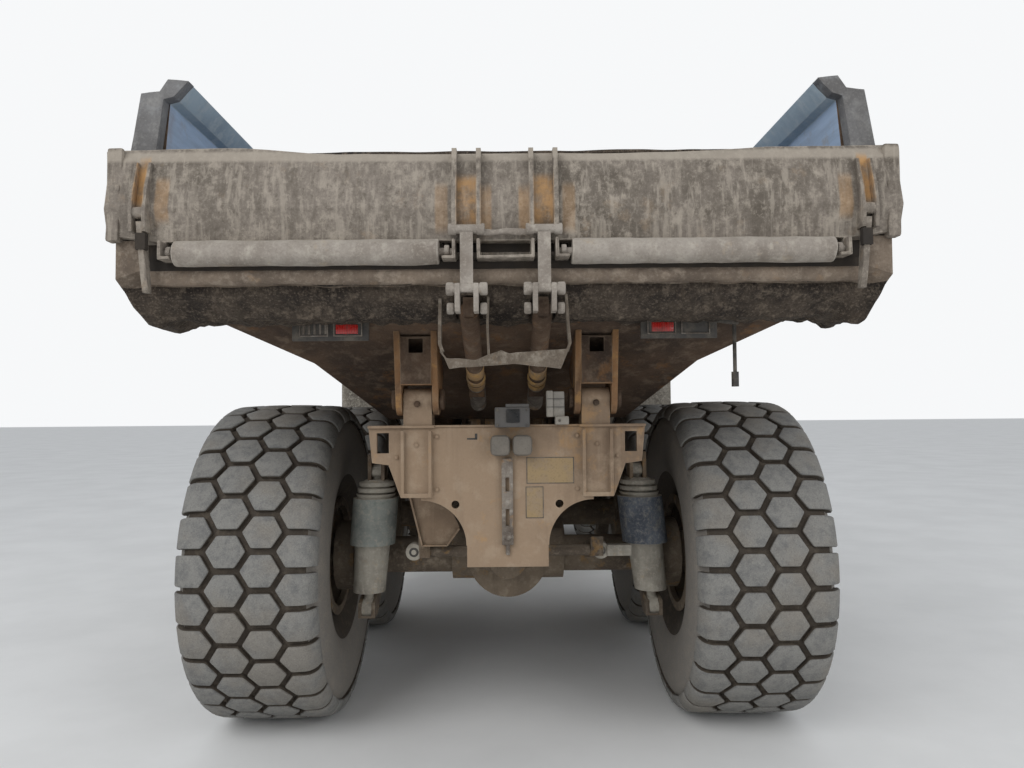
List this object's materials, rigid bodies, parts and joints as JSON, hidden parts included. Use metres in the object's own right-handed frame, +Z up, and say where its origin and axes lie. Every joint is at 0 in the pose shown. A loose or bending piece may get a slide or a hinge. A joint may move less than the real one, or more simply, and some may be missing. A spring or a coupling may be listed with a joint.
{
  "type": "articulated dump truck",
  "caption": "Articulated dump truck: rear unit with tipping bed and tailgate on two driven axles, rolling and steering hitch, front unit with cab and hood; worn and mud-covered.",
  "frame": {"origin": "centre of the bounding box at ground level", "axes": "+Y ahead, +X to the truck's right, +Z up"},
  "size_m": [3.48, 11.26, 3.67],
  "materials": {
    "dirty_paint": "matte",
    "axle_paint": "matte",
    "dark_steel": "matte",
    "black_paint": "satin",
    "rod_chrome": "polished",
    "cab_glass": "clear",
    "lamp": "gloss",
    "rubber_sheet": "matte",
    "seat_cloth": "woven",
    "tyre": "dusty",
    "rim_paint": "matte"
  },
  "bodies": {
    "rear_frame": {"rear_frame": "dirty_paint", "rear_plate": "dirty_paint", "bogie_axles": "axle_paint", "bogie_struts": "dark_steel", "bogie_links": "axle_paint", "tow_gear": "dark_steel"},
    "bed": {"bed_floor": "dirty_paint", "bed_side_left": "dirty_paint", "bed_side_right": "dirty_paint", "bed_headboard": "dirty_paint", "bed_tail_beam": "dirty_paint", "bed_rails": "dirty_paint", "bed_lamps": "lamp", "bed_flaps": "rubber_sheet", "bed_guard": "dirty_paint", "gate_rods": "dirty_paint"},
    "tailgate": {"tailgate_panel": "dirty_paint", "tailgate_ribs": "dirty_paint", "tailgate_tubes": "dirty_paint", "tailgate_straps": "dirty_paint"},
    "hitch": {"hitch": "dirty_paint"},
    "front_unit": {"front_frame": "dirty_paint", "front_axle": "axle_paint", "engine": "dark_steel", "front_bumper": "black_paint", "front_fenders": "dirty_paint", "cab_steps": "black_paint", "cab_shell": "dirty_paint", "cab_roof": "dirty_paint", "cab_glass": "cab_glass", "cab_seat": "seat_cloth", "mirrors": "black_paint", "exhaust": "black_paint", "side_tanks": "dirty_paint", "front_lamps": "lamp"},
    "hood": {"hood": "dirty_paint"},
    "grille": {"grille": "black_paint"},
    "cab_door": {"cab_door": "dirty_paint", "door_glass": "cab_glass"},
    "tip_barrels": {"tip_barrels": "black_paint"},
    "tip_rods": {"tip_rods": "rod_chrome"},
    "steer_barrel_left": {"steer_barrel_left": "black_paint"},
    "steer_barrel_right": {"steer_barrel_right": "black_paint"},
    "steer_rod_left": {"steer_rod_left": "rod_chrome"},
    "steer_rod_right": {"steer_rod_right": "rod_chrome"},
    "wheel_front_left": {"tyre_front_left": "tyre", "rim_front_left": "rim_paint"},
    "wheel_front_right": {"tyre_front_right": "tyre", "rim_front_right": "rim_paint"},
    "wheel_mid_left": {"tyre_mid_left": "tyre", "rim_mid_left": "rim_paint"},
    "wheel_mid_right": {"tyre_mid_right": "tyre", "rim_mid_right": "rim_paint"},
    "wheel_rear_left": {"tyre_rear_left": "tyre", "rim_rear_left": "rim_paint"},
    "wheel_rear_right": {"tyre_rear_right": "tyre", "rim_rear_right": "rim_paint"}
  },
  "joints": [
    {"name": "roll", "type": "hinge", "parent": "rear_frame", "child": "hitch", "pos_m": [0, 0.59, 1.1], "axis": [0, 1, 0], "range_deg": [-20, 20]},
    {"name": "steer", "type": "hinge", "parent": "hitch", "child": "front_unit", "pos_m": [0, 1.25, 1.1], "axis": [0, 0, 1], "range_deg": [-45, 45]},
    {"name": "tip", "type": "hinge", "parent": "rear_frame", "child": "bed", "pos_m": [0, -4.86, 1.885], "axis": [1, 0, 0], "range_deg": [0, 70]},
    {"name": "gate", "type": "hinge", "parent": "bed", "child": "tailgate", "pos_m": [0, -4.46, 2.8], "axis": [-1, 0, 0], "range_deg": [0, 50]},
    {"name": "hood_lift", "type": "hinge", "parent": "front_unit", "child": "hood", "pos_m": [0, 5.38, 1.94], "axis": [-1, 0, 0], "range_deg": [0, 60]},
    {"name": "grille_fold", "type": "hinge", "parent": "front_unit", "child": "grille", "pos_m": [0, 5.405, 1.165], "axis": [-1, 0, 0], "range_deg": [0, 85]},
    {"name": "door", "type": "hinge", "parent": "front_unit", "child": "cab_door", "pos_m": [-0.822, 1.995, 2.7], "axis": [0, 0, 1], "range_deg": [0, 80]},
    {"name": "tip_barrel_swing", "type": "hinge", "parent": "rear_frame", "child": "tip_barrels", "pos_m": [0, -1.16, 1.15], "axis": [1, 0, 0], "range_deg": [-25, 1]},
    {"name": "tip_rod_slide", "type": "slide", "parent": "tip_barrels", "child": "tip_rods", "axis": [0, -0.9778, 0.2095], "range_m": [0, 1.46]},
    {"name": "steer_barrel_left_swing", "type": "hinge", "parent": "front_unit", "child": "steer_barrel_left", "pos_m": [-0.56, 2.3, 0.93], "axis": [0, 0, 1], "range_deg": [-2, 2]},
    {"name": "steer_rod_left_slide", "type": "slide", "parent": "steer_barrel_left", "child": "steer_rod_left", "axis": [0.2169, -0.9762, 0], "range_m": [-0.24, 0.24]},
    {"name": "steer_barrel_right_swing", "type": "hinge", "parent": "front_unit", "child": "steer_barrel_right", "pos_m": [0.56, 2.3, 0.93], "axis": [0, 0, 1], "range_deg": [-2, 2]},
    {"name": "steer_rod_right_slide", "type": "slide", "parent": "steer_barrel_right", "child": "steer_rod_right", "axis": [-0.2169, -0.9762, 0], "range_m": [-0.24, 0.24]},
    {"name": "wheel_front_left", "type": "hinge", "parent": "front_unit", "child": "wheel_front_left", "pos_m": [-1.345, 2.53, 0.9375], "axis": [1, 0, 0], "continuous": true},
    {"name": "wheel_front_right", "type": "hinge", "parent": "front_unit", "child": "wheel_front_right", "pos_m": [1.345, 2.53, 0.9375], "axis": [1, 0, 0], "continuous": true},
    {"name": "wheel_mid_left", "type": "hinge", "parent": "rear_frame", "child": "wheel_mid_left", "pos_m": [-1.345, -1.92, 0.9375], "axis": [1, 0, 0], "continuous": true},
    {"name": "wheel_mid_right", "type": "hinge", "parent": "rear_frame", "child": "wheel_mid_right", "pos_m": [1.345, -1.92, 0.9375], "axis": [1, 0, 0], "continuous": true},
    {"name": "wheel_rear_left", "type": "hinge", "parent": "rear_frame", "child": "wheel_rear_left", "pos_m": [-1.345, -3.86, 0.9375], "axis": [1, 0, 0], "continuous": true},
    {"name": "wheel_rear_right", "type": "hinge", "parent": "rear_frame", "child": "wheel_rear_right", "pos_m": [1.345, -3.86, 0.9375], "axis": [1, 0, 0], "continuous": true}
  ],
  "couplings": [
    {"joint": "tip_barrel_swing", "follows": "tip", "ratio": -0.3498},
    {"joint": "tip_rod_slide", "follows": "tip", "m_per_rad": 1.1827},
    {"joint": "steer_barrel_left_swing", "follows": "steer", "ratio": 0.024},
    {"joint": "steer_rod_left_slide", "follows": "steer", "m_per_rad": -0.28986},
    {"joint": "steer_barrel_right_swing", "follows": "steer", "ratio": -0.024},
    {"joint": "steer_rod_right_slide", "follows": "steer", "m_per_rad": 0.28986}
  ]
}
